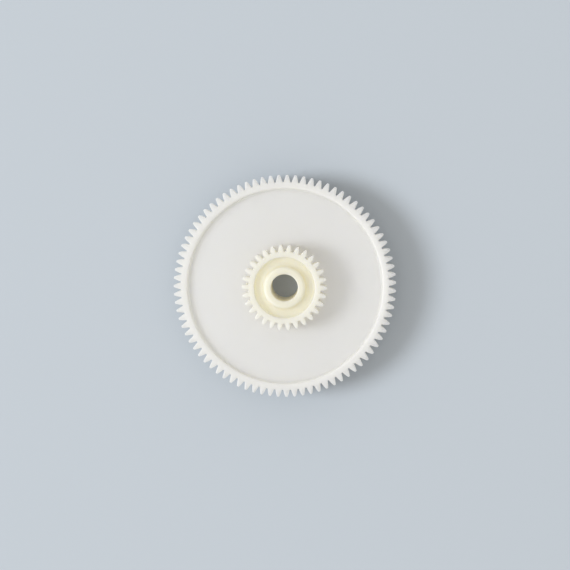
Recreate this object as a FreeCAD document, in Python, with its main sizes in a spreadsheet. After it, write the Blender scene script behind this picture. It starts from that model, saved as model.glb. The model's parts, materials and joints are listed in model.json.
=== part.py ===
import FreeCAD, Part
import math
import os
import Sketcher

from FreeCAD import Placement, Rotation, Vector

# A moulded acetal compound spur gear: a large thin-webbed wheel pressed and keyed on to the shank
# of a small pinion, which carries the shaft bore. Millimetres, +Z along the bore towards the pinion,
# origin on the bore's axis at the rear end of the boss.

document = FreeCAD.newDocument("CompoundGear")
sheet = document.addObject("Spreadsheet::Sheet", "Sizes")

drivingSizes = [
    ("gearModule", 0.6, "module of both gears"),
    ("pressureAngle", 20, "degrees, both gears"),
    ("addendumRatio", 1.0, "tooth height above the pitch circle, in modules"),
    ("toothBacklash", 0.02, "taken off each tooth's thickness at the pitch circle"),
    ("toothEndBreak", 0.15, "bevel on the ends of the tooth tips"),
    ("wheelTeeth", 83, "teeth on the wheel"),
    ("wheelToothAngle", 2.0, "degrees from +X to the middle of one wheel tooth"),
    ("wheelDedendumRatio", 1.75, "depth of the wheel's teeth below the pitch circle, in modules"),
    ("wheelTipRound", 0.14, "radius on the corners of the wheel's tooth tips"),
    ("wheelRootRound", 0.15, "radius at the foot of each wheel tooth"),
    ("wheelFace", 6.5, "width of the wheel's teeth along the axis"),
    ("rimWall", 1.45, "rim thickness under the tooth roots"),
    ("frontRecess", 1.2, "depth of the web below the rim on the pinion's side"),
    ("webThick", 2.0, "thickness of the web"),
    ("frontRimFillet", 0.5, "fillet between web and rim on the pinion's side"),
    ("rearFillet", 0.5, "fillets between web, rim and collar behind the web"),
    ("rimEdgeRound", 0.3, "rounding on the inner edges of the rim"),
    ("collarWall", 2.0, "wall of the collar round the shank"),
    ("collarSetback", 0.5, "the collar stops short of the rim's rear face by this"),
    ("pinionTeeth", 30, "teeth on the pinion"),
    ("pinionToothAngle", 11.4, "degrees from +X to the middle of one pinion tooth"),
    ("pinionDedendumRatio", 1.45, "depth of the pinion's teeth below the pitch circle, in modules"),
    ("pinionTipRound", 0.15, "radius on the corners of the pinion's tooth tips"),
    ("pinionRootRound", 0.27, "radius at the foot of each pinion tooth"),
    ("pinionFace", 6.7, "width of the pinion's teeth along the axis"),
    ("pinionWall", 1.28, "ring left under the pinion's tooth roots by the end recess"),
    ("recessDepth", 1.6, "depth of the ring-shaped recess in the pinion's end"),
    ("recessFillet", 0.5, "fillet at the recess's outer wall"),
    ("recessEdgeRound", 0.2, "rounding on the recess's outer edge"),
    ("shaftDiameter", 6.0, "shaft that the gear runs on"),
    ("shaftClearance", 0.03, "radial running clearance on the shaft"),
    ("hubWall", 1.72, "wall of the hub round the bore at the pinion's end"),
    ("hubRise", 0.3, "the hub stands proud of the pinion's teeth by this"),
    ("hubFillet", 1.0, "fillet at the hub's foot"),
    ("hubEdgeRound", 0.8, "rounding on the hub's outer edge"),
    ("boreMouth", 0.25, "rounding and bevel at the ends of the bore"),
    ("bossWall", 2.2, "wall of the rear boss round the bore"),
    ("bossLength", 3.5, "the boss stands behind the wheel's teeth by this"),
    ("bossEdgeBreak", 0.25, "bevel on the boss's rear edge"),
    ("shankStep", 1.0, "the shank in the wheel is larger than the boss by this radius"),
    ("seatGap", 0.01, "gap all round between the shank and the wheel's seat"),
    ("keyCount", 4, "keys on the shank"),
    ("keyWidth", 1.6, "width of each key"),
    ("keyHeight", 0.6, "height of each key above the shank"),
    ("ejectorCount", 6, "ejector pin marks on the back of the web"),
    ("ejectorCircle", 15.0, "radius of the circle of ejector pin marks"),
    ("ejectorAngle", 15, "degrees from +X to one ejector pin mark"),
    ("ejectorRadius", 1.25, "radius of each ejector pin mark"),
    ("ejectorDepth", 0.1, "depth of each ejector pin mark"),
    ("gateCount", 3, "gate stubs on the back of the web"),
    ("gateCircle", 15.0, "radius of the circle of gate stubs"),
    ("gateAngle", 45, "degrees from +X to one gate stub"),
    ("gateRadius", 0.6, "radius of each gate stub"),
    ("gateHeight", 0.25, "height of each gate stub"),
]

# Heights along the axis, as expressions on the sheet.
wheelRear = "Sizes.bossLength"
wheelFront = f"({wheelRear} + Sizes.wheelFace)"
webTop = f"({wheelFront} - Sizes.frontRecess)"
webBottom = f"({webTop} - Sizes.webThick)"
collarEnd = f"({wheelRear} + Sizes.collarSetback)"
pinionTop = f"({webTop} + Sizes.pinionFace)"
recessFloor = f"({pinionTop} - Sizes.recessDepth)"
hubTop = f"({pinionTop} + Sizes.hubRise)"

# Radii of the wheel.
wheelPitch = "(Sizes.gearModule * Sizes.wheelTeeth / 2)"
wheelTip = f"({wheelPitch} + Sizes.gearModule * Sizes.addendumRatio)"
wheelRoot = f"({wheelPitch} - Sizes.gearModule * Sizes.wheelDedendumRatio)"
rimInner = f"({wheelRoot} - Sizes.rimWall)"

# Radii of the pinion and its hub.
pinionPitch = "(Sizes.gearModule * Sizes.pinionTeeth / 2)"
pinionTip = f"({pinionPitch} + Sizes.gearModule * Sizes.addendumRatio)"
pinionRoot = f"({pinionPitch} - Sizes.gearModule * Sizes.pinionDedendumRatio)"
recessOuter = f"({pinionRoot} - Sizes.pinionWall)"
boreRadius = "(Sizes.shaftDiameter / 2 + Sizes.shaftClearance)"
hubOuter = f"({boreRadius} + Sizes.hubWall)"
bossRadius = f"({boreRadius} + Sizes.bossWall)"
shankRadius = f"({bossRadius} + Sizes.shankStep)"

# The wheel's seat on the shank, one gap larger than the shank all round.
seatRadius = f"({shankRadius} + Sizes.seatGap)"
collarOuter = f"({seatRadius} + Sizes.collarWall)"

# Two roundings that share a floor or a step are each held to a share of its width.
floorHubShare = 0.6
floorWallShare = 0.35
floorWidth = f"({recessOuter} - {hubOuter})"
hubFootShare = 0.53
hubEdgeShare = 0.43
hubStep = "(Sizes.recessDepth + Sizes.hubRise)"
hubFootRound = f"min(Sizes.hubFillet; {floorHubShare} * {floorWidth}; {hubFootShare} * {hubStep})"
hubEdgeRound = f"min(Sizes.hubEdgeRound; {hubEdgeShare} * {hubStep})"
recessFootRound = f"min(Sizes.recessFillet; {floorWallShare} * {floorWidth})"
rimFootShare = 0.6
rimEdgeShare = 0.35
rimFootRound = f"min(Sizes.frontRimFillet; {rimFootShare} * Sizes.frontRecess)"
rimEdgeRound = f"min(Sizes.rimEdgeRound; {rimEdgeShare} * Sizes.frontRecess)"


def fillSheet():
    # Column A names each size, column B holds it, column C says what it is.
    for row, (name, value, note) in enumerate(drivingSizes, start=1):
        sheet.set(f"A{row}", name)
        sheet.set(f"B{row}", str(value))
        sheet.set(f"C{row}", note)
        sheet.setAlias(f"B{row}", name)
    document.recompute()


def size(expression):
    value = sheet.evalExpression(expression.replace("Sizes.", ""))
    return float(getattr(value, "Value", value))


def originItem(body, role):
    return next(item for item in body.Origin.OriginFeatures if item.Role == role)


def newBody(label):
    body = document.addObject("PartDesign::Body", label)
    body.Label = label
    return body


def newSketch(body, name, plane, lift=None):
    # A sketch on one of the body's own origin planes, raised along its normal by the lift.
    sketch = body.newObject("Sketcher::SketchObject", name)
    sketch.AttachmentSupport = [(originItem(body, plane), "")]
    sketch.MapMode = "FlatFace"
    if lift:
        sketch.setExpression("AttachmentOffset.Base.z", lift)
    document.recompute()
    return sketch


def bindCorner(sketch, line, axis, expression, name):
    # Ties one coordinate of a line's start to the sheet; zero means that it lies on the sketch's axis.
    if expression == "0":
        sketch.addConstraint(Sketcher.Constraint("PointOnObject", line, 1, -1 if axis == "Y" else -2))
        return
    start = sketch.Geometry[line].StartPoint
    value = start.x if axis == "X" else start.y
    number = sketch.addConstraint(Sketcher.Constraint(f"Distance{axis}", -1, 1, line, 1, value))
    sketch.renameConstraint(number, name)
    sketch.setExpression(f"Constraints.{name}", expression)


def drawOutline(sketch, corners):
    # A closed outline of straight lines whose corners are pairs of expressions on the sheet.
    points = [Vector(size(across), size(up), 0) for across, up in corners]
    first = sketch.GeometryCount
    count = len(points)
    for index in range(count):
        sketch.addGeometry(Part.LineSegment(points[index], points[(index + 1) % count]), False)
    for index in range(count):
        following = first + (index + 1) % count
        sketch.addConstraint(Sketcher.Constraint("Coincident", first + index, 2, following, 1))
    for index, (across, up) in enumerate(corners):
        bindCorner(sketch, first + index, "X", across, f"across{first + index}")
        bindCorner(sketch, first + index, "Y", up, f"up{first + index}")
    document.recompute()


def revolve(body, name, corners):
    # A full turn about Z of a half section given as radius and height.
    sketch = newSketch(body, f"{name}Section", "XZ_Plane")
    drawOutline(sketch, corners)
    turned = body.newObject("PartDesign::Revolution", name)
    turned.Profile = sketch
    turned.ReferenceAxis = (sketch, ["V_Axis"])
    turned.Angle = 360
    document.recompute()
    return turned


def circleEdges(feature, places):
    # Names of the feature's full circles at the given radii and heights.
    names = []
    for number, edge in enumerate(feature.Shape.Edges, start=1):
        if not isinstance(edge.Curve, Part.Circle):
            continue
        for radius, height in places:
            sameRadius = abs(edge.Curve.Radius - size(radius)) < 1e-4
            sameHeight = abs(edge.Curve.Center.z - size(height)) < 1e-4
            if sameRadius and sameHeight:
                names.append(f"Edge{number}")
    if len(names) != len(places):
        raise RuntimeError(f"{feature.Label} has {len(names)} of {len(places)} edges")
    return names


def roundEdges(body, name, places, radius):
    base = body.Tip
    fillet = body.newObject("PartDesign::Fillet", name)
    fillet.Base = (base, circleEdges(base, places))
    fillet.setExpression("Radius", radius)
    document.recompute()
    return fillet


def bevelEdges(body, name, places, width):
    base = body.Tip
    chamfer = body.newObject("PartDesign::Chamfer", name)
    chamfer.Base = (base, circleEdges(base, places))
    chamfer.setExpression("Size", width)
    document.recompute()
    return chamfer


def repeatRound(body, feature, countExpression):
    # Copies one feature round Z; the copies count once the body's tip is the pattern.
    pattern = body.newObject("PartDesign::PolarPattern", f"{feature.Name}Ring")
    pattern.Originals = [feature]
    pattern.Axis = (originItem(body, "Z_Axis"), [""])
    pattern.Angle = 360
    pattern.setExpression("Occurrences", countExpression)
    body.Tip = pattern
    document.recompute()
    return pattern


def involutePoint(baseRadius, turn, startAngle, beyond=0.0):
    # A point of the involute unwound by the turn; "beyond" goes that much further along the string.
    reach = baseRadius * turn + beyond
    angle = startAngle + turn
    return Vector(
        baseRadius * math.cos(angle) + reach * math.sin(angle),
        baseRadius * math.sin(angle) - reach * math.cos(angle),
        0,
    )


def polar(radius, angle):
    return Vector(radius * math.cos(angle), radius * math.sin(angle), 0)


def mirrored(point, sign):
    # The point itself for +1, its mirror image across the X axis for -1.
    return Vector(point.x, sign * point.y, 0)


def arcThrough(start, centre, end):
    # The short arc from start to end about the centre.
    radius = (start - centre).Length
    middle = (start - centre) + (end - centre)
    middle.normalize()
    return Part.Arc(start, centre + middle * radius, end)


def gapOutline(teeth, tip, root, tipRound, rootRound, middleAngle):
    # The space between two teeth as a closed list of curves, with its middle at the given angle.
    # Each side is a root radius, an involute flank and the rounded corner of the tooth's tip. Where the
    # root radius ends inside the base circle, a radial line joins it to the flank.
    pitch = size("Sizes.gearModule") * teeth / 2
    pressure = math.radians(size("Sizes.pressureAngle"))
    base = pitch * math.cos(pressure)
    halfGap = math.pi / (2 * teeth) + size("Sizes.toothBacklash") / (2 * pitch)
    startAngle = halfGap - (math.tan(pressure) - pressure)
    footReach = math.sqrt(max((root + rootRound) ** 2 - base**2, rootRound**2))
    footTurn = (footReach - rootRound) / base
    radialDrop = max(base - math.sqrt((root + rootRound) ** 2 - rootRound**2), 0)
    tipTurn = (math.sqrt((tip - tipRound) ** 2 - base**2) + tipRound) / base
    flankPoints = 7
    turns = [footTurn + (tipTurn - footTurn) * step / (flankPoints - 1) for step in range(flankPoints)]
    flank = [involutePoint(base, turn, startAngle) for turn in turns]
    footDrop = polar(radialDrop, startAngle + footTurn)
    footEnd = flank[0] - footDrop
    footCentre = involutePoint(base, footTurn, startAngle, rootRound) - footDrop
    tipCentre = involutePoint(base, tipTurn, startAngle, -tipRound)
    footAngle = math.atan2(footCentre.y, footCentre.x)
    tipAngle = math.atan2(tipCentre.y, tipCentre.x)
    rootEnd = polar(root, footAngle)
    tipEnd = polar(tip, tipAngle)
    outside = tip + size("Sizes.gearModule")
    sides = []
    for sign in (1, -1):
        points = [mirrored(point, sign) for point in flank]
        spline = Part.BSplineCurve()
        spline.interpolate(points)
        footStart = mirrored(footEnd, sign)
        sides.append(arcThrough(mirrored(rootEnd, sign), mirrored(footCentre, sign), footStart))
        if radialDrop > 0:
            sides.append(Part.LineSegment(footStart, points[0]))
        sides.append(spline)
        sides.append(arcThrough(points[-1], mirrored(tipCentre, sign), mirrored(tipEnd, sign)))
        sides.append(Part.LineSegment(polar(tip, sign * tipAngle), polar(outside, sign * tipAngle)))
    sides.append(Part.Arc(polar(root, -footAngle), polar(root, 0), polar(root, footAngle)))
    sides.append(Part.Arc(polar(outside, -tipAngle), polar(outside, 0), polar(outside, tipAngle)))
    turnAll = Placement(Vector(), Rotation(Vector(0, 0, 1), math.degrees(middleAngle))).toMatrix()
    for curve in sides:
        curve.transform(turnAll)
    return sides


def cutTeeth(body, gear, tip, root):
    # One space between teeth, half a pitch on from a tooth, cut through and copied round Z.
    teeth = int(size(f"Sizes.{gear}Teeth"))
    middle = math.radians(size(f"Sizes.{gear}ToothAngle")) + math.pi / teeth
    tipRound = size(f"Sizes.{gear}TipRound")
    rootRound = size(f"Sizes.{gear}RootRound")
    sketch = newSketch(body, f"{gear}GapOutline", "XY_Plane")
    sketch.addGeometry(gapOutline(teeth, size(tip), size(root), tipRound, rootRound, middle), False)
    document.recompute()
    gap = body.newObject("PartDesign::Pocket", f"{gear}Gap")
    gap.Profile = sketch
    gap.Type = "ThroughAll"
    gap.Reversed = True
    document.recompute()
    return repeatRound(body, gap, f"Sizes.{gear}Teeth")


def keyCorners(growth):
    # The plan of one key on +X, from inside the shank to the key's top, grown by the gap.
    half = f"(Sizes.keyWidth / 2 + {growth})"
    inner = f"({shankRadius} - Sizes.keyHeight)"
    outer = f"({shankRadius} + Sizes.keyHeight + {growth})"
    return [(inner, f"-{half}"), (outer, f"-{half}"), (outer, half), (inner, half)]


def drawDisc(sketch, centreExpression, angleExpression, radiusExpression):
    # A disc on a circle about the origin, at an angle in degrees.
    middle = polar(size(centreExpression), math.radians(size(angleExpression)))
    disc = sketch.addGeometry(Part.Circle(middle, Vector(0, 0, 1), size(radiusExpression)), False)
    sized = sketch.addConstraint(Sketcher.Constraint("Radius", disc, size(radiusExpression)))
    sketch.renameConstraint(sized, "discRadius")
    sketch.setExpression("Constraints.discRadius", radiusExpression)
    for axis, place in (("X", middle.x), ("Y", middle.y)):
        turned = "cos" if axis == "X" else "sin"
        held = sketch.addConstraint(Sketcher.Constraint(f"Distance{axis}", -1, 1, disc, 3, place))
        sketch.renameConstraint(held, f"disc{axis}")
        sketch.setExpression(
            f"Constraints.disc{axis}", f"{centreExpression} * {turned}({angleExpression} * 1 deg)"
        )
    document.recompute()


def makeWheel():
    # The large wheel: toothed rim, web and collar, with a keyed seat for the shank.
    body = newBody("wheel")
    rimBevel = "Sizes.toothEndBreak"
    revolve(body, "wheelBlank", [
        (seatRadius, collarEnd),
        (collarOuter, collarEnd),
        (collarOuter, webBottom),
        (rimInner, webBottom),
        (rimInner, wheelRear),
        (f"({wheelTip} - {rimBevel})", wheelRear),
        (wheelTip, f"({wheelRear} + {rimBevel})"),
        (wheelTip, f"({wheelFront} - {rimBevel})"),
        (f"({wheelTip} - {rimBevel})", wheelFront),
        (rimInner, wheelFront),
        (rimInner, webTop),
        (seatRadius, webTop),
    ])
    roundEdges(body, "frontWebFillet", [(rimInner, webTop)], rimFootRound)
    roundEdges(body, "rearWebFillets", [(rimInner, webBottom), (collarOuter, webBottom)], "Sizes.rearFillet")
    roundEdges(body, "rimEdges", [(rimInner, wheelFront), (rimInner, wheelRear)], rimEdgeRound)
    keyway = newSketch(body, "keywayPlan", "XY_Plane")
    drawOutline(keyway, keyCorners("Sizes.seatGap"))
    cut = body.newObject("PartDesign::Pocket", "keyway")
    cut.Profile = keyway
    cut.Type = "ThroughAll"
    cut.Reversed = True
    document.recompute()
    repeatRound(body, cut, "Sizes.keyCount")
    addMouldMarks(body)
    cutTeeth(body, "wheel", wheelTip, wheelRoot)
    return body


def addMouldMarks(body):
    # Ejector pins leave shallow discs and the gates small stubs, both on the back of the web.
    ejectorPlan = newSketch(body, "ejectorPlan", "XY_Plane", webBottom)
    drawDisc(ejectorPlan, "Sizes.ejectorCircle", "Sizes.ejectorAngle", "Sizes.ejectorRadius")
    mark = body.newObject("PartDesign::Pocket", "ejectorMark")
    mark.Profile = ejectorPlan
    mark.Reversed = True
    mark.setExpression("Length", "Sizes.ejectorDepth")
    document.recompute()
    repeatRound(body, mark, "Sizes.ejectorCount")
    gatePlan = newSketch(body, "gatePlan", "XY_Plane", webBottom)
    drawDisc(gatePlan, "Sizes.gateCircle", "Sizes.gateAngle", "Sizes.gateRadius")
    stub = body.newObject("PartDesign::Pad", "gateStub")
    stub.Profile = gatePlan
    stub.Reversed = True
    stub.setExpression("Length", "Sizes.gateHeight")
    document.recompute()
    repeatRound(body, stub, "Sizes.gateCount")


def makePinionHub():
    # The pinion with its hub, shank, rear boss and shaft bore, in one moulding.
    body = newBody("pinion_hub")
    tipBevel = "Sizes.toothEndBreak"
    revolve(body, "pinionBlank", [
        (boreRadius, "0"),
        (bossRadius, "0"),
        (bossRadius, collarEnd),
        (shankRadius, collarEnd),
        (shankRadius, webTop),
        (f"({pinionTip} - {tipBevel})", webTop),
        (pinionTip, f"({webTop} + {tipBevel})"),
        (pinionTip, f"({pinionTop} - {tipBevel})"),
        (f"({pinionTip} - {tipBevel})", pinionTop),
        (recessOuter, pinionTop),
        (recessOuter, recessFloor),
        (hubOuter, recessFloor),
        (hubOuter, hubTop),
        (boreRadius, hubTop),
    ])
    roundEdges(body, "hubFoot", [(hubOuter, recessFloor)], hubFootRound)
    roundEdges(body, "recessFoot", [(recessOuter, recessFloor)], recessFootRound)
    roundEdges(body, "recessEdge", [(recessOuter, pinionTop)], "Sizes.recessEdgeRound")
    roundEdges(body, "hubEdge", [(hubOuter, hubTop)], hubEdgeRound)
    roundEdges(body, "boreFrontMouth", [(boreRadius, hubTop)], "Sizes.boreMouth")
    bevelEdges(body, "boreRearMouth", [(boreRadius, "0")], "Sizes.boreMouth")
    bevelEdges(body, "bossRearEdge", [(bossRadius, "0")], "Sizes.bossEdgeBreak")
    keyPlan = newSketch(body, "keyPlan", "XY_Plane", collarEnd)
    drawOutline(keyPlan, keyCorners("0"))
    key = body.newObject("PartDesign::Pad", "shankKey")
    key.Profile = keyPlan
    key.setExpression("Length", f"{webTop} - {collarEnd}")
    document.recompute()
    repeatRound(body, key, "Sizes.keyCount")
    cutTeeth(body, "pinion", pinionTip, pinionRoot)
    return body


def checkDocument(bodies):
    # Stops before anything is written if a feature failed or a body isn't one sound solid.
    for item in document.Objects:
        if "Invalid" in item.State or "Error" in item.State:
            raise RuntimeError(f"{item.Label} failed: {item.State}")
    for body in bodies:
        shape = body.Shape
        if shape.isNull() or not shape.isValid() or len(shape.Solids) != 1:
            raise RuntimeError(f"{body.Label} isn't one valid solid")
        box = shape.BoundBox
        print(f"{body.Label}: {box.XLength:.2f} x {box.YLength:.2f} x {box.ZLength:.2f} mm, "
              f"{shape.Volume:.1f} mm3, {len(shape.Faces)} faces")


def main():
    fillSheet()
    bodies = [makeWheel(), makePinionHub()]
    document.recompute()
    checkDocument(bodies)
    os.makedirs("parts", exist_ok=True)
    for body in bodies:
        body.Shape.exportStep(f"parts/{body.Label}.step")


main()
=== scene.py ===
import json
import math
import bpy
import numpy as np
from mathutils import Matrix, Vector


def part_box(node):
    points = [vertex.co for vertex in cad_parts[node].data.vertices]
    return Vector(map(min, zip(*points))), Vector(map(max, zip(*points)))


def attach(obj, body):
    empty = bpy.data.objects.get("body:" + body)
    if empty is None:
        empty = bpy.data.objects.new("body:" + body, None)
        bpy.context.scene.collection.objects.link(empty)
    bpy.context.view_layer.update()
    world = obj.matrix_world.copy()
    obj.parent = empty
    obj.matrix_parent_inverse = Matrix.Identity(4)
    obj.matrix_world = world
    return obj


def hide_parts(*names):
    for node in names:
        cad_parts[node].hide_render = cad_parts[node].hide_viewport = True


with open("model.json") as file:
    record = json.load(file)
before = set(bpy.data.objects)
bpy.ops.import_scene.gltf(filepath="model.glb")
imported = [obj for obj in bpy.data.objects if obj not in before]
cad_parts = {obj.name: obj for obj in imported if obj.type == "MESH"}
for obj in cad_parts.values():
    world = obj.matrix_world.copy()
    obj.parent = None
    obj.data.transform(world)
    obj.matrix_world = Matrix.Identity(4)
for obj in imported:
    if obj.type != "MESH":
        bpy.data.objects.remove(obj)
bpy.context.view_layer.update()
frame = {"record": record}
scene = bpy.context.scene
scene.view_settings.view_transform = "Standard"
mm = 0.001
print("stage: frame loaded")

# tooth form shared by both gears, as the CAD model has it
toothForm = {
    "module": 0.6 * mm,
    "pressureAngle": math.radians(20),
    "backlash": 0.02 * mm,
}


def turned(angle):
    # unit vector at an angle, as a complex number x + iy
    return np.exp(1j * np.asarray(angle))


def arcSteps(centre, start, end, steps):
    # points and radial directions from start towards end round a centre, the end left out
    first = start - centre
    sweep = np.angle((end - centre) / first)
    directions = first / abs(first) * turned(np.linspace(0, sweep, steps, endpoint=False))
    return centre + abs(first) * directions, directions


# Plan of a toothed ring. With base circle b, the involute at turn t is b e^(ia) - i b t e^(ia) where
# a = t + start: a string of length b t unwound from the circle. An arc joins it to the root circle and
# another to the tip circle. Where the foot's arc ends inside the base circle, a radial line carries the
# flank down to it. Half a space is mirrored into a full one and turned round the ring.
def toothPlan(look, tipRadius, steps):
    teeth, tipRound, rootRound = look["teeth"], look["tipRound"], look["rootRound"]
    pitch = toothForm["module"] * teeth / 2
    root = pitch - look["dedendum"]
    pressure = toothForm["pressureAngle"]
    base = pitch * math.cos(pressure)
    halfPitch = math.pi / teeth
    halfGap = halfPitch / 2 + toothForm["backlash"] / (2 * pitch)
    start = halfGap - (math.tan(pressure) - pressure)
    footReach = math.sqrt(max((root + rootRound) ** 2 - base**2, rootRound**2))
    footTurn = (footReach - rootRound) / base
    radialDrop = max(base - math.sqrt((root + rootRound) ** 2 - rootRound**2), 0)
    endTurn = (math.sqrt((tipRadius - tipRound) ** 2 - base**2) + tipRound) / base
    turns = np.linspace(footTurn, endTurn, steps["flank"] + 1)
    rays = turned(turns + start)
    flank = base * rays - 1j * base * turns * rays
    line = flank[0] - rays[0] * np.linspace(radialDrop, 0, steps["line"], endpoint=False)
    footEnd = flank[0] - rays[0] * radialDrop
    footCentre = footEnd - 1j * rays[0] * rootRound
    tipCentre = flank[-1] + 1j * rays[-1] * tipRound
    rootEnd = root * footCentre / abs(footCentre)
    tipEnd = tipRadius * tipCentre / abs(tipCentre)
    rootRays = turned(np.linspace(0, np.angle(rootEnd), steps["root"], endpoint=False))
    foot, footRays = arcSteps(footCentre, rootEnd, footEnd, steps["foot"])
    tip, tipRays = arcSteps(tipCentre, flank[-1], tipEnd, steps["tip"])
    landRays = turned(np.linspace(np.angle(tipEnd), halfPitch, steps["land"] + 1))
    lineRays = np.full(steps["line"], -1j * rays[0])
    points = np.concatenate([root * rootRays, foot, line, flank[:-1], tip, tipRadius * landRays])
    normals = np.concatenate([rootRays, -footRays, lineRays, -1j * rays[:-1], tipRays, landRays])
    return turnedCopies(mirroredHalf(points, halfPitch), mirroredHalf(normals, halfPitch),
                        teeth, look["toothAngle"] - halfPitch)


# Plan of a round shank or seat with straight-sided keys: key top, rounded corner, side, rounded foot
# and plain circle over half a sector, then mirrored and turned.
def keyedPlan(radius, growth, key, columns):
    ring = radius + growth
    top = ring + key["height"]
    half = key["width"] / 2 + growth
    corner = key["cornerRound"]
    sector = math.pi / key["count"]
    cornerCentre = complex(top - corner, half - corner)
    footCentre = complex(math.sqrt((ring + corner) ** 2 - (half + corner) ** 2), half + corner)
    footEnd = ring * footCentre / abs(footCentre)
    counts = {"top": 5, "corner": 4, "side": 5, "foot": 4}
    circleSteps = columns // (2 * key["count"]) - sum(counts.values())
    topPoints = top + 1j * np.linspace(0, half - corner, counts["top"], endpoint=False)
    corners, cornerRays = arcSteps(cornerCentre, complex(top, half - corner),
                                   complex(top - corner, half), counts["corner"])
    sidePoints = np.linspace(top - corner, footCentre.real, counts["side"], endpoint=False) + 1j * half
    feet, footRays = arcSteps(footCentre, complex(footCentre.real, half), footEnd, counts["foot"])
    rays = turned(np.linspace(np.angle(footEnd), sector, circleSteps + 1))
    points = np.concatenate([topPoints, corners, sidePoints, feet, ring * rays])
    normals = np.concatenate([np.ones(counts["top"]), cornerRays, 1j * np.ones(counts["side"]),
                              -footRays, rays])
    return turnedCopies(mirroredHalf(points, sector), mirroredHalf(normals, sector), key["count"], 0.0)


def mirroredHalf(half, middle):
    # a half sector and its mirror image about the ray at the middle angle
    return np.concatenate([half[:-1], np.conj(half[:0:-1]) * turned(2 * middle)])


def turnedCopies(points, normals, count, startAngle):
    # count copies round the origin, the first at the start angle
    turns = turned(startAngle + 2 * math.pi * np.arange(count) / count)[:, None]
    return (turns * points).ravel(), (turns * normals).ravel()


def rolledTo(plan, startAngle):
    # the same closed outline, begun at the point nearest the start angle
    points, normals = plan
    shift = -int(np.argmin(np.abs(np.angle(points * turned(-startAngle)))))
    return np.roll(points, shift), np.roll(normals, shift)


def planRow(plan, inset, height):
    # one closed row of vertices: the outline moved in along its normals
    points, normals = plan
    moved = points - inset * normals
    return np.column_stack([moved.real, moved.imag, np.full(len(moved), height)])


def circleRow(columns, startAngle, radius, height):
    # one closed row of vertices: r e^(ia) at equal angles a from the start angle
    rays = turned(startAngle + 2 * math.pi * np.arange(columns) / columns)
    return np.column_stack([radius * rays.real, radius * rays.imag, np.full(columns, height)])


# A half section with rounded corners: each corner (radius, height, round, steps) becomes an arc tangent
# to both runs, with one more point just off each end of the arc so that the flats stay flat.
def roundedSection(corners, flatKeep=0.03 * mm):
    path = []
    for index, (across, up, roundness, steps) in enumerate(corners):
        here = complex(across, up)
        if roundness == 0:
            path.append(here)
            continue
        before = complex(*corners[index - 1][:2]) - here
        after = complex(*corners[index + 1][:2]) - here
        before, after = before / abs(before), after / abs(after)
        halfAngle = abs(np.angle(after / before)) / 2
        reach = roundness / math.tan(halfAngle)
        centre = here + (before + after) / abs(before + after) * roundness / math.sin(halfAngle)
        arc, _ = arcSteps(centre, here + before * reach, here + after * reach, steps)
        path += [here + before * (reach + flatKeep), *arc, here + after * reach]
        path.append(here + after * (reach + flatKeep))
    return path


def edgeRows(plan, height, direction, roundness, steps, outward=False):
    # rows that round the end of an outline, from its flat end face on to its wall: a quarter circle of
    # insets and drops, with one more row just past each end of it so that the flats stay flat
    sign = -1 if outward else 1
    past = 1.3 * roundness
    angles = np.linspace(0, math.pi / 2, steps + 1)
    insets = np.concatenate([[past], roundness * (1 - np.sin(angles)), [0]])
    drops = np.concatenate([[0], roundness * (1 - np.cos(angles)), [past]])
    return [planRow(plan, sign * inset, height - direction * drop)
            for inset, drop in zip(insets, drops)]


def meshFromRows(name, rows):
    # closed rows round the axis, in order round the half section; the last row joins the first
    starts = np.cumsum([0] + [len(row) for row in rows])
    faces = []
    for index, row in enumerate(rows):
        following = (index + 1) % len(rows)
        faces += joinedRows(starts[index], len(row), starts[following], len(rows[following]))
    mesh = bpy.data.meshes.new(name)
    mesh.from_pydata(np.concatenate(rows).tolist(), [], faces)
    mesh.validate()
    mesh.shade_smooth()
    piece = bpy.data.objects.new(name, mesh)
    scene.collection.objects.link(piece)
    print(f"stage: {name}, {sum(len(face) - 2 for face in faces)} triangles")
    return piece


def joinedRows(firstStart, firstCount, nextStart, nextCount):
    # quads between equal rows, or four triangles a column where one row has three times the columns
    count = min(firstCount, nextCount)
    here = np.arange(count)
    ahead = (here + 1) % count
    if firstCount == nextCount:
        quads = [firstStart + here, nextStart + here, nextStart + ahead, firstStart + ahead]
        return np.column_stack(quads).tolist()
    fine = max(firstCount, nextCount)
    steps = [(3 * here + step) % fine for step in range(4)]
    if firstCount > nextCount:
        a, b, c, d = (firstStart + step for step in steps)
        near, far = nextStart + here, nextStart + ahead
        triangles = [(a, near, b), (b, near, far), (b, far, c), (c, far, d)]
    else:
        a, b, c, d = (nextStart + step for step in steps)
        near, far = firstStart + here, firstStart + ahead
        triangles = [(near, a, b), (near, b, far), (far, b, c), (far, c, d)]
    return np.concatenate([np.column_stack(triangle) for triangle in triangles]).tolist()


# the keyed joint between the two mouldings
seatKey = {"count": 4, "width": 1.6 * mm, "height": 0.6 * mm, "cornerRound": 0.12 * mm}
shankWall = 3.2 * mm
shaftBore = next(mount for mount in frame["record"]["mounts"] if mount["name"] == "shaft_bore")
boreRadius = shaftBore["dims"]["r_mm"] * mm
shankRadius = boreRadius + shankWall

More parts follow.
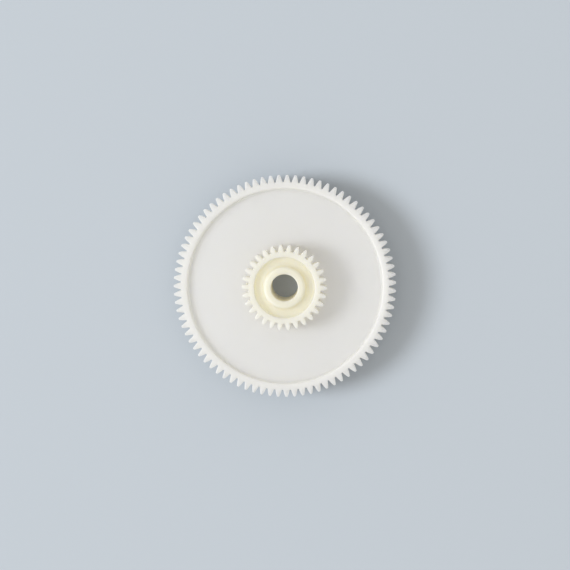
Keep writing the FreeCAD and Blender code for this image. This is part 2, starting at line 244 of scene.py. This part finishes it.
wheelLook = {
    "teeth": 83,
    "toothAngle": math.radians(2.0),
    "dedendum": 1.05 * mm,
    "rootRound": 0.15 * mm,
    "tipRound": 0.14 * mm,
    "endRound": 0.13 * mm,
    "rimWall": 1.45 * mm,
    "frontRecess": 1.2 * mm,
    "webThick": 2.0 * mm,
    "webRings": (12 * mm, 17 * mm),    # plain rings that share out the web's long faces
    "rearRing": 18 * mm,
    "frontFillet": 0.5 * mm,
    "rearFillet": 0.5 * mm,
    "rimEdge": 0.3 * mm,
    "rimLedge": 0.5 * mm,    # flat band between the rim's rounded edge and the tooth roots
    "collarWall": 2.0 * mm,
    "collarSetback": 0.5 * mm,
    "collarEdge": 0.2 * mm,
    "seatGap": 0.01 * mm,
    "seatEdge": 0.1 * mm,
    "frontSeatBand": 1.2 * mm,    # flat rings round the keyed hole
    "rearSeatBand": 1.1 * mm,
    "markCircle": 15 * mm,
    "markBand": (16.8 * mm, 13.2 * mm),
    "markRows": 23,
    "markSoftness": 0.12 * mm,
    "ejectorRadius": 1.25 * mm,
    "ejectorDepth": 0.1 * mm,
    "ejectorAngles": [15, 75, 135, 195, 255, 315],
    "gateRadius": 0.6 * mm,
    "gateHeight": 0.25 * mm,
    "gateAngles": [45, 165, 285],
}
wheelSteps = {"root": 1, "foot": 3, "line": 0, "flank": 3, "tip": 4, "land": 1}


def discsAt(row, angles, radius):
    # 1 inside any of the discs on the mark circle, 0 outside, with a smooth step between
    softness = wheelLook["markSoftness"]
    plane = row[:, 0] + 1j * row[:, 1]
    centres = wheelLook["markCircle"] * turned(np.radians(angles))
    nearest = np.abs(plane[:, None] - centres[None, :]).min(axis=1)
    share = np.clip((radius + softness - nearest) / (2 * softness), 0, 1)
    return share * share * (3 - 2 * share)


def markedRow(row):
    # the back of the web, with ejector marks sunk into it and gate stubs standing on it
    sunk = discsAt(row, wheelLook["ejectorAngles"], wheelLook["ejectorRadius"])
    raised = discsAt(row, wheelLook["gateAngles"], wheelLook["gateRadius"])
    row[:, 2] += wheelLook["ejectorDepth"] * sunk - wheelLook["gateHeight"] * raised
    return row


# The wheel's half section, from the keyed hole out over the front, round the teeth and back behind. Each
# of its points is a row round the axis: a circle, the tooth outline, or the hole's keyed outline.
def makeWheel():
    look = wheelLook
    low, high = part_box("wheel")
    rear, front = low[2], high[2]
    tip = max(abs(low[0]), abs(high[0]), abs(low[1]), abs(high[1]))
    root = toothForm["module"] * look["teeth"] / 2 - look["dedendum"]
    inner = root - look["rimWall"]
    webTop = front - look["frontRecess"]
    webBottom = webTop - look["webThick"]
    collarEnd = rear + look["collarSetback"]
    start = look["toothAngle"] - math.pi / look["teeth"]
    plan = toothPlan(look, tip, wheelSteps)
    fine = len(plan[0])
    coarse = fine // 3
    seat = rolledTo(keyedPlan(shankRadius, look["seatGap"], seatKey, coarse), start)
    collar = shankRadius + look["seatGap"] + look["collarWall"]

    def circles(path, columns=coarse):
        return [circleRow(columns, start, point.real, point.imag) for point in path]

    ledge = inner + look["rimLedge"]
    innerRing, outerRing = look["webRings"]
    frontPath = roundedSection([
        (shankRadius + look["frontSeatBand"], webTop, 0, 0),
        (innerRing, webTop, 0, 0),
        (outerRing, webTop, 0, 0),
        (inner, webTop, look["frontFillet"], 7),
        (inner, front, look["rimEdge"], 5),
        (ledge, front, 0, 0),
    ])
    rearPath = roundedSection([
        (ledge, rear, 0, 0),
        (inner, rear, look["rimEdge"], 5),
        (inner, webBottom, look["rearFillet"], 5),
        (look["rearRing"], webBottom, 0, 0),
    ])
    markRadii = np.linspace(*look["markBand"], look["markRows"])
    markPath = [complex(radius, webBottom) for radius in markRadii]
    collarPath = roundedSection([
        (innerRing, webBottom, 0, 0),
        (collar, webBottom, look["rearFillet"], 5),
        (collar, collarEnd, look["collarEdge"], 4),
        (shankRadius + look["rearSeatBand"], collarEnd, 0, 0),
    ])
    ringInner = root - 2 * look["endRound"]
    rows = [planRow(seat, 0, webTop)]
    rows += circles(frontPath)
    rows += circles([complex(ringInner, front)], fine)
    rows += edgeRows(plan, front, 1, look["endRound"], 4)
    rows += edgeRows(plan, rear, -1, look["endRound"], 4)[::-1]
    rows += circles([complex(ringInner, rear)], fine)
    rows += circles(rearPath)
    rows += [markedRow(row) for row in circles(markPath)]
    rows += circles(collarPath)
    rows += edgeRows(seat, collarEnd, -1, look["seatEdge"], 3, outward=True)
    return meshFromRows("wheel_moulding", rows)


pinionLook = {
    "teeth": 30,
    "toothAngle": math.radians(11.4),
    "dedendum": 0.87 * mm,
    "rootRound": 0.27 * mm,
    "tipRound": 0.15 * mm,
    "endRound": 0.1 * mm,
    "face": 6.7 * mm,
    "wall": 1.28 * mm,
    "recessDepth": 1.6 * mm,
    "recessFillet": 0.5 * mm,
    "recessEdge": 0.2 * mm,
    "hubWall": 1.72 * mm,
    "hubRise": 0.3 * mm,
    "hubFillet": 1.0 * mm,
    "hubEdge": 0.8 * mm,
    "mouthRound": 0.25 * mm,
    "boreRing": 2 * mm,    # how far inside each mouth the bore's plain rings lie
    "bossWall": 2.2 * mm,
    "bossFoot": 0.15 * mm,
    "bossEdge": 0.25 * mm,
    "shankEdge": 0.1 * mm,
}
pinionSteps = {"root": 1, "foot": 4, "line": 1, "flank": 4, "tip": 5, "land": 1}


# The pinion's half section, from the bore over the hub and recess, down the teeth and along the keyed
# shank to the boss, with a row round the axis for each point.
def makePinion():
    look = pinionLook
    low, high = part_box("pinion_hub")
    tip = max(abs(low[0]), abs(high[0]), abs(low[1]), abs(high[1]))
    rear, hubTop = low[2], high[2]
    top = hubTop - look["hubRise"]
    shoulder = top - look["face"]
    floor = top - look["recessDepth"]
    root = toothForm["module"] * look["teeth"] / 2 - look["dedendum"]
    recess = root - look["wall"]
    hub = boreRadius + look["hubWall"]
    boss = boreRadius + look["bossWall"]
    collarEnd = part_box("wheel")[0][2] + wheelLook["collarSetback"]
    start = look["toothAngle"] - math.pi / look["teeth"]
    plan = toothPlan(look, tip, pinionSteps)
    columns = len(plan[0])
    shank = rolledTo(keyedPlan(shankRadius, 0, seatKey, columns), start)

    def circles(path):
        return [circleRow(columns, start, point.real, point.imag) for point in path]

    # flat rings between the rounded edges of the end faces
    topRing = root - 2.5 * look["endRound"]
    shoulderRing = root - 3 * look["endRound"]
    shankRing = shankRadius - 2 * look["shankEdge"]
    frontPath = roundedSection([
        (boreRadius, hubTop - look["boreRing"], 0, 0),
        (boreRadius, hubTop, look["mouthRound"], 5),
        (hub, hubTop, look["hubEdge"], 9),
        (hub, floor, look["hubFillet"], 9),
        (recess, floor, look["recessFillet"], 6),
        (recess, top, look["recessEdge"], 5),
        (topRing, top, 0, 0),
    ])
    bossPath = roundedSection([
        (shankRing, collarEnd, 0, 0),
        (boss, collarEnd, look["bossFoot"], 3),
        (boss, rear, look["bossEdge"], 4),
        (boreRadius, rear, look["mouthRound"], 4),
        (boreRadius, rear + look["boreRing"], 0, 0),
    ])
    rows = circles(frontPath)
    rows += edgeRows(plan, top, 1, look["endRound"], 4)
    rows += edgeRows(plan, shoulder, -1, look["endRound"], 3)[::-1]
    rows += circles([complex(shoulderRing, shoulder)])
    rows += [planRow(shank, 0, shoulder)]
    rows += edgeRows(shank, collarEnd, -1, look["shankEdge"], 3)[::-1]
    rows += circles(bossPath)
    return meshFromRows("pinion_moulding", rows)


def addGroup(name, inputs, outputs):
    # an empty node group with its sockets, given as (name, type, default)
    group = bpy.data.node_groups.new(name, "ShaderNodeTree")
    for label, kind, default in inputs:
        socket = group.interface.new_socket(label, in_out="INPUT", socket_type=kind)
        socket.default_value = default
    for label, kind in outputs:
        group.interface.new_socket(label, in_out="OUTPUT", socket_type=kind)
    return group, group.nodes.new("NodeGroupInput"), group.nodes.new("NodeGroupOutput")


def mathNode(tree, operation, first, second):
    node = tree.nodes.new("ShaderNodeMath")
    node.operation = operation
    for socket, value in zip(node.inputs, (first, second)):
        if isinstance(value, bpy.types.NodeSocket):
            tree.links.new(value, socket)
        else:
            socket.default_value = value
    return node.outputs[0]


def noiseNode(tree, coordinates, scale, detail, roughness=0.5):
    node = tree.nodes.new("ShaderNodeTexNoise")
    node.inputs["Detail"].default_value = detail
    node.inputs["Roughness"].default_value = roughness
    tree.links.new(coordinates, node.inputs["Vector"])
    if isinstance(scale, bpy.types.NodeSocket):
        tree.links.new(scale, node.inputs["Scale"])
    else:
        node.inputs["Scale"].default_value = scale
    return node.outputs["Fac"]


def mixColour(tree, share, first, second):
    node = tree.nodes.new("ShaderNodeMix")
    node.data_type = "RGBA"
    for label, value in (("Factor_Float", share), ("A_Color", first), ("B_Color", second)):
        socket = next(item for item in node.inputs if item.identifier == label)
        if isinstance(value, bpy.types.NodeSocket):
            tree.links.new(value, socket)
        else:
            socket.default_value = value
    return next(item for item in node.outputs if item.identifier == "Result_Color")


acetalSkin = {
    "broadScale": 220.0,    # waves per metre, and so for the other scales
    "waviness": 0.6,
    "roughnessSpread": 0.12,
    "bumpStrength": 0.12,
    "bumpDepth": 0.02 * mm,
    "ior": 1.48,
}


# Fine texture of a spark-eroded mould: a soft grain and a broad waviness, as a height and a roughness.
def mouldGrainGroup():
    group, given, result = addGroup("mouldGrain", [
        ("Grain Scale", "NodeSocketFloat", 3000.0),
        ("Waviness", "NodeSocketFloat", 0.5),
        ("Roughness", "NodeSocketFloat", 0.4),
        ("Roughness Spread", "NodeSocketFloat", 0.1),
    ], [("Height", "NodeSocketFloat"), ("Roughness", "NodeSocketFloat")])
    place = group.nodes.new("ShaderNodeTexCoord").outputs["Object"]
    grain = noiseNode(group, place, given.outputs["Grain Scale"], 3.0, 0.6)
    broad = noiseNode(group, place, acetalSkin["broadScale"], 2.0)
    wave = mathNode(group, "MULTIPLY", broad, given.outputs["Waviness"])
    group.links.new(mathNode(group, "ADD", grain, wave), result.inputs["Height"])
    centred = mathNode(group, "SUBTRACT", broad, 0.5)
    spread = mathNode(group, "MULTIPLY", centred, given.outputs["Roughness Spread"])
    roughness = mathNode(group, "ADD", given.outputs["Roughness"], spread)
    group.links.new(roughness, result.inputs["Roughness"])
    return group


driftField = {"slowScale": 55.0, "cloudyScale": 420.0, "slowShare": 0.7}


# Slow drift of tone through natural acetal, with a faint cloudiness, between two near colours. A share
# of the deep colour can be added where a wall is thick.
def toneDriftGroup():
    group, given, result = addGroup("toneDrift", [
        ("Light", "NodeSocketColor", (1, 1, 1, 1)),
        ("Deep", "NodeSocketColor", (1, 1, 1, 1)),
        ("Amount", "NodeSocketFloat", 1.0),
        ("Thick Share", "NodeSocketFloat", 0.0),
    ], [("Color", "NodeSocketColor")])
    place = group.nodes.new("ShaderNodeTexCoord").outputs["Object"]
    slow = noiseNode(group, place, driftField["slowScale"], 2.0)
    cloudy = noiseNode(group, place, driftField["cloudyScale"], 3.0)
    slowPart = mathNode(group, "MULTIPLY", slow, driftField["slowShare"])
    cloudyPart = mathNode(group, "MULTIPLY", cloudy, 1 - driftField["slowShare"])
    both = mathNode(group, "ADD", slowPart, cloudyPart)
    drift = mathNode(group, "MULTIPLY", both, given.outputs["Amount"])
    share = mathNode(group, "ADD", drift, given.outputs["Thick Share"])
    group.links.new(mixColour(group, share, given.outputs["Light"], given.outputs["Deep"]),
                    result.inputs["Color"])
    return group


grainGroup = mouldGrainGroup()
driftGroup = toneDriftGroup()

whiteAcetal = {
    "light": (0.915, 0.893, 0.845, 1),
    "deep": (0.89, 0.865, 0.81, 1),
    "drift": 0.6,
    "scatterRadius": (5.5, 5.5, 5.0),
    "roughness": 0.52,
    "grainScale": 2600.0,
    "clearness": 0.2,    # share of the light that each wall lets through
}
ivoryAcetal = {
    "light": (0.938, 0.890, 0.774, 1),
    "deep": (0.93, 0.85, 0.66, 1),
    "drift": 0.6,
    "scatterRadius": (5.0, 4.8, 4.0),
    "roughness": 0.52,
    "grainScale": 3000.0,
    "clearness": 0.6,
    "thickWithin": (4.7 * mm, 5.2 * mm),    # the hub is thick, and natural acetal looks deeper there
}


def thickShare(tree, inner, outer):
    # 1 within the inner radius of the axis, 0 beyond the outer one, with a smooth step between
    flat = tree.nodes.new("ShaderNodeVectorMath")
    flat.operation = "MULTIPLY"
    flat.inputs[1].default_value = (1, 1, 0)
    tree.links.new(tree.nodes.new("ShaderNodeTexCoord").outputs["Object"], flat.inputs[0])
    across = tree.nodes.new("ShaderNodeVectorMath")
    across.operation = "LENGTH"
    tree.links.new(flat.outputs["Vector"], across.inputs[0])
    fall = tree.nodes.new("ShaderNodeMapRange")
    fall.interpolation_type = "SMOOTHSTEP"
    tree.links.new(across.outputs["Value"], fall.inputs["Value"])
    fall.inputs["From Min"].default_value = inner
    fall.inputs["From Max"].default_value = outer
    fall.inputs["To Min"].default_value = 1
    fall.inputs["To Max"].default_value = 0
    return fall.outputs["Result"]


def acetalMaterial(name, look):
    # translucent moulded acetal: light scatters a few millimetres under a satin skin
    material = bpy.data.materials.new(name)
    material.use_nodes = True
    tree = material.node_tree
    shader = tree.nodes["Principled BSDF"]
    drift = tree.nodes.new("ShaderNodeGroup")
    drift.node_tree = driftGroup
    drift.inputs["Light"].default_value = look["light"]
    drift.inputs["Deep"].default_value = look["deep"]
    drift.inputs["Amount"].default_value = look["drift"]
    if "thickWithin" in look:
        tree.links.new(thickShare(tree, *look["thickWithin"]), drift.inputs["Thick Share"])
    grain = tree.nodes.new("ShaderNodeGroup")
    grain.node_tree = grainGroup
    grain.inputs["Grain Scale"].default_value = look["grainScale"]
    grain.inputs["Waviness"].default_value = acetalSkin["waviness"]
    grain.inputs["Roughness"].default_value = look["roughness"]
    grain.inputs["Roughness Spread"].default_value = acetalSkin["roughnessSpread"]
    bump = tree.nodes.new("ShaderNodeBump")
    bump.inputs["Strength"].default_value = acetalSkin["bumpStrength"]
    bump.inputs["Distance"].default_value = acetalSkin["bumpDepth"]
    tree.links.new(drift.outputs["Color"], shader.inputs["Base Color"])
    tree.links.new(grain.outputs["Roughness"], shader.inputs["Roughness"])
    tree.links.new(grain.outputs["Height"], bump.inputs["Height"])
    tree.links.new(bump.outputs["Normal"], shader.inputs["Normal"])
    shader.inputs["Subsurface Weight"].default_value = 1.0
    shader.inputs["Subsurface Radius"].default_value = look["scatterRadius"]
    shader.inputs["Subsurface Scale"].default_value = 1 * mm
    shader.inputs["IOR"].default_value = acetalSkin["ior"]
    # light from lamps and other surfaces partly goes on through the moulding, which still looks solid
    rays = tree.nodes.new("ShaderNodeLightPath").outputs
    lighting = mathNode(tree, "MAXIMUM", rays["Is Shadow Ray"], rays["Is Diffuse Ray"])
    passed = mathNode(tree, "MULTIPLY", lighting, look["clearness"])
    tree.links.new(mathNode(tree, "SUBTRACT", 1.0, passed), shader.inputs["Alpha"])
    return material


def addPieces():
    wheel = makeWheel()
    wheel.data.materials.append(acetalMaterial("whiteAcetal", whiteAcetal))
    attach(wheel, "root")
    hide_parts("wheel")
    pinion = makePinion()
    pinion.data.materials.append(acetalMaterial("ivoryAcetal", ivoryAcetal))
    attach(pinion, "root")
    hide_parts("pinion_hub")


floorLook = {
    "colour": (0.56, 0.61, 0.67, 1),
    "roughness": 0.85,
    "specular": 0.2,
    "halfSize": 3.0,
    "drop": 0.02 * mm,    # below the boss, so that the two faces don't coincide
}


def addFloor():
    half, height = floorLook["halfSize"], -floorLook["drop"]
    signs = [(-1, -1), (1, -1), (1, 1), (-1, 1)]
    corners = [(half * alongX, half * alongY, height) for alongX, alongY in signs]
    mesh = bpy.data.meshes.new("floor")
    mesh.from_pydata(corners, [], [(0, 1, 2, 3)])
    floor = bpy.data.objects.new("floor", mesh)
    scene.collection.objects.link(floor)
    material = bpy.data.materials.new("floorPaint")
    material.use_nodes = True
    shader = material.node_tree.nodes["Principled BSDF"]
    shader.inputs["Base Color"].default_value = floorLook["colour"]
    shader.inputs["Roughness"].default_value = floorLook["roughness"]
    shader.inputs["Specular IOR Level"].default_value = floorLook["specular"]
    mesh.materials.append(material)
    print("stage: floor")


lightLook = {
    "keyTilt": math.radians(46),        # from straight up
    "keyAzimuth": math.radians(181),    # from +X, so the key stands to the left
    "keyDistance": 2.5,
    "keySize": 0.95,
    "keyPower": 35.5,
    "keyColour": (0.94, 0.97, 1.0),
    "ambient": (1.0, 0.98, 0.93, 1),
    "ambientStrength": 0.635,
    "backdrop": (0.80, 0.83, 0.87, 1),
}


def addLights():
    tilt, azimuth = lightLook["keyTilt"], lightLook["keyAzimuth"]
    across = Vector((math.cos(azimuth), math.sin(azimuth), 0))
    direction = across * math.sin(tilt) + Vector((0, 0, math.cos(tilt)))
    lamp = bpy.data.lights.new("keySoftbox", "AREA")
    lamp.shape = "DISK"
    lamp.size = lightLook["keySize"]
    lamp.energy = lightLook["keyPower"]
    lamp.color = lightLook["keyColour"]
    key = bpy.data.objects.new("keySoftbox", lamp)
    key.location = direction * lightLook["keyDistance"]
    key.rotation_euler = direction.to_track_quat("Z", "Y").to_euler()
    scene.collection.objects.link(key)
    world = bpy.data.worlds.new("studio")
    world.use_nodes = True
    scene.world = world
    tree = world.node_tree
    ambient = tree.nodes["Background"]
    ambient.inputs["Color"].default_value = lightLook["ambient"]
    ambient.inputs["Strength"].default_value = lightLook["ambientStrength"]
    seen = tree.nodes.new("ShaderNodeBackground")
    seen.inputs["Color"].default_value = lightLook["backdrop"]
    seen.inputs["Strength"].default_value = 1.0
    paths = tree.nodes.new("ShaderNodeLightPath").outputs
    direct = mathNode(tree, "MAXIMUM", paths["Is Camera Ray"], paths["Is Glossy Ray"])
    mix = tree.nodes.new("ShaderNodeMixShader")
    tree.links.new(mathNode(tree, "MAXIMUM", direct, paths["Is Transmission Ray"]), mix.inputs["Fac"])
    tree.links.new(ambient.outputs["Background"], mix.inputs[1])
    tree.links.new(seen.outputs["Background"], mix.inputs[2])
    tree.links.new(mix.outputs["Shader"], tree.nodes["World Output"].inputs["Surface"])
    print("stage: lights")


cameraLook = {
    "distance": 266 * mm,         # above the face of the rim
    "viewWidth": 130.6 * mm,      # across the frame at that face
    "sensor": 36.0,
    "lean": math.radians(3.2),    # the camera stands this far off the gear's axis
    "leanTowards": math.radians(73.6),
    "aside": (0.06 * mm, 0.34 * mm),
    "clip": (0.01, 20.0),
}


def addCamera():
    look = cameraLook
    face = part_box("wheel")[1][2]
    target = Vector((look["aside"][0], look["aside"][1], face))
    towards = Vector((math.cos(look["leanTowards"]), math.sin(look["leanTowards"]), 0))
    direction = towards * math.sin(look["lean"]) + Vector((0, 0, math.cos(look["lean"])))
    lens = bpy.data.cameras.new("camera")
    lens.sensor_width = look["sensor"]
    lens.lens = look["sensor"] * look["distance"] / look["viewWidth"]
    lens.clip_start, lens.clip_end = look["clip"]
    camera = bpy.data.objects.new("camera", lens)
    across = Vector((0, 1, 0)).cross(direction).normalized()
    upward = direction.cross(across)
    turn = Matrix((across, upward, direction)).transposed().to_4x4()
    camera.matrix_world = Matrix.Translation(target + direction * look["distance"]) @ turn
    scene.collection.objects.link(camera)
    scene.camera = camera
    print("stage: camera")


addCamera()
addPieces()
addFloor()
addLights()
